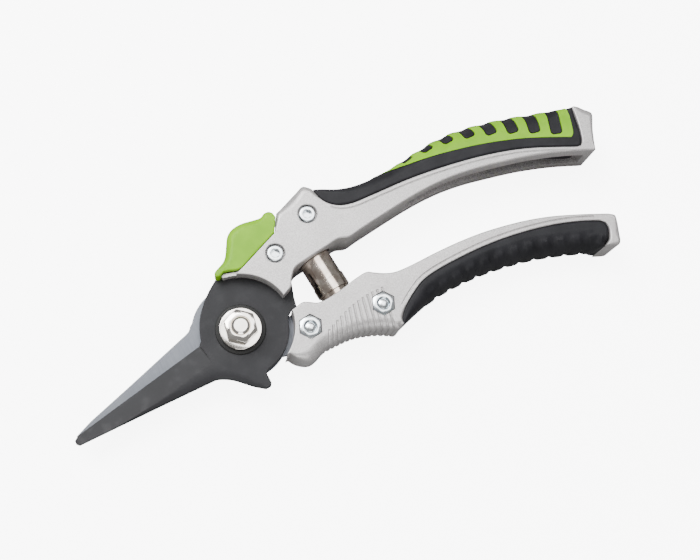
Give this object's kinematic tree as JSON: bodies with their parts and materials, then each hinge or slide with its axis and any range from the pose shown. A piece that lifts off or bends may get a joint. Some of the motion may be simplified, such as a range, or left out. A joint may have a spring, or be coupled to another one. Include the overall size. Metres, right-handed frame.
{
  "type": "pruning shears",
  "caption": "Hand shears with straight bypass blades, cast handles with moulded grips, a volute spring and a sliding thumb catch.",
  "frame": {"origin": "on the pivot axis, in the plane of the handles' far faces that the shears rest on", "axes": "+X from the pivot along the closed tool towards the handles' ends, +Y towards the upper handle, +Z from the resting side towards the pivot nut"},
  "size_m": [0.2079, 0.0656, 0.0198],
  "materials": {
    "cast_alloy": "satin cast, finely blasted",
    "coated_steel": "dark grey non-stick coating",
    "blade_steel": "ground blue-grey steel",
    "zinc_plate": "bright zinc plate",
    "nickel_plate": "polished nickel plate",
    "spring_steel": "rolled strip with a warm plating",
    "black_rubber": "matte moulded rubber",
    "black_plastic": "satin",
    "green_plastic": "satin moulded plastic"
  },
  "bodies": {
    "upper_half": {"upper_handle": "cast_alloy", "upper_grip": "black_rubber", "upper_grip_cover": "green_plastic", "upper_blade": "coated_steel", "upper_blade_screws": "zinc_plate", "upper_blade_nuts": "zinc_plate", "pivot_bolt": "nickel_plate", "pivot_nut": "nickel_plate", "nut_washer": "nickel_plate", "nut_friction_ring": "black_plastic", "head_washer": "nickel_plate", "head_friction_ring": "black_plastic", "volute_spring": "spring_steel", "catch_detent_ball": "zinc_plate", "catch_detent_spring": "spring_steel"},
    "thumb_catch": {"catch_button": "green_plastic", "catch_slide_plate": "blade_steel", "catch_rivets": "zinc_plate"},
    "lower_half": {"lower_handle": "cast_alloy", "lower_grip": "black_rubber", "lower_blade": "blade_steel", "lower_blade_bolts": "zinc_plate", "lower_blade_nuts": "zinc_plate"}
  },
  "joints": [
    {"name": "handle_pivot", "type": "hinge", "parent": "upper_half", "child": "lower_half", "pos_m": [0, 0, 0.009], "axis": [0, 0, -1], "range_deg": [0, 27], "deforming": ["volute_spring"]},
    {"name": "catch_slide", "type": "slide", "parent": "upper_half", "child": "thumb_catch", "axis": [-0.9225, -0.3859, 0], "range_m": [0, 0.0035]}
  ]
}
